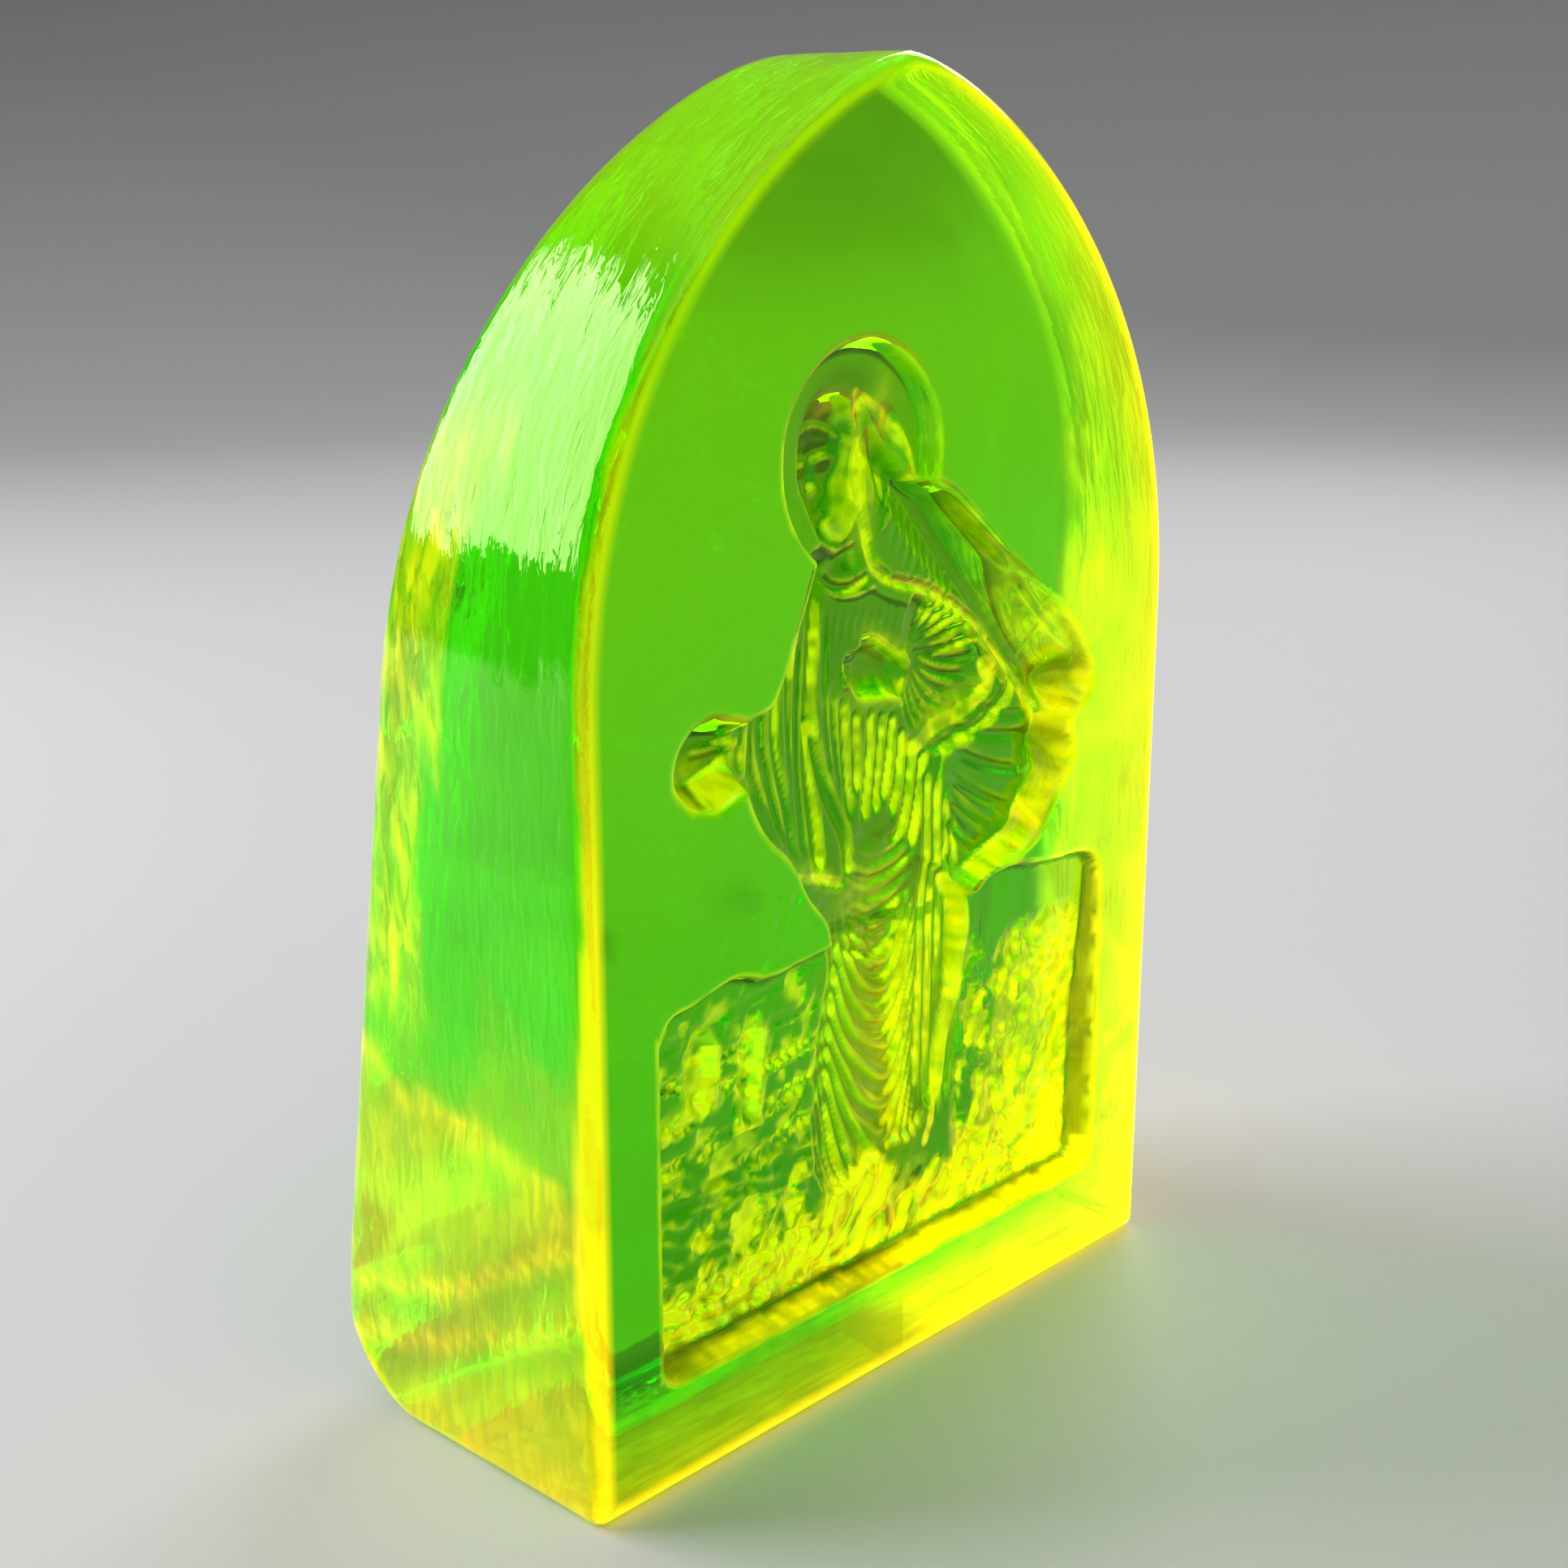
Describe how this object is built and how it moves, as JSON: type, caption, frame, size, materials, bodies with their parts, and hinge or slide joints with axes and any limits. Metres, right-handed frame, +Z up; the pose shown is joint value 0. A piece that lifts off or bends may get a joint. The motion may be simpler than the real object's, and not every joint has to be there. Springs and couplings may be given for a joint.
{
  "type": "pressed glass relief block",
  "caption": "Free-standing solid glass block in the shape of a pointed arch, with a haloed robed figure over a landscape panel sunk into its front face.",
  "frame": {"origin": "centre of the bounding box's bottom face, in the plane that the block stands on", "axes": "+Z up towards the tip of the arch, +X to the right seen from the front, -Y towards the viewer, out of the face with the figure"},
  "size_m": [0.0784, 0.0353, 0.12],
  "materials": {
    "glass": "polished, clear yellow-green, glowing at its edges"
  },
  "bodies": {
    "root": {"glass_block": "glass"}
  },
  "joints": []
}
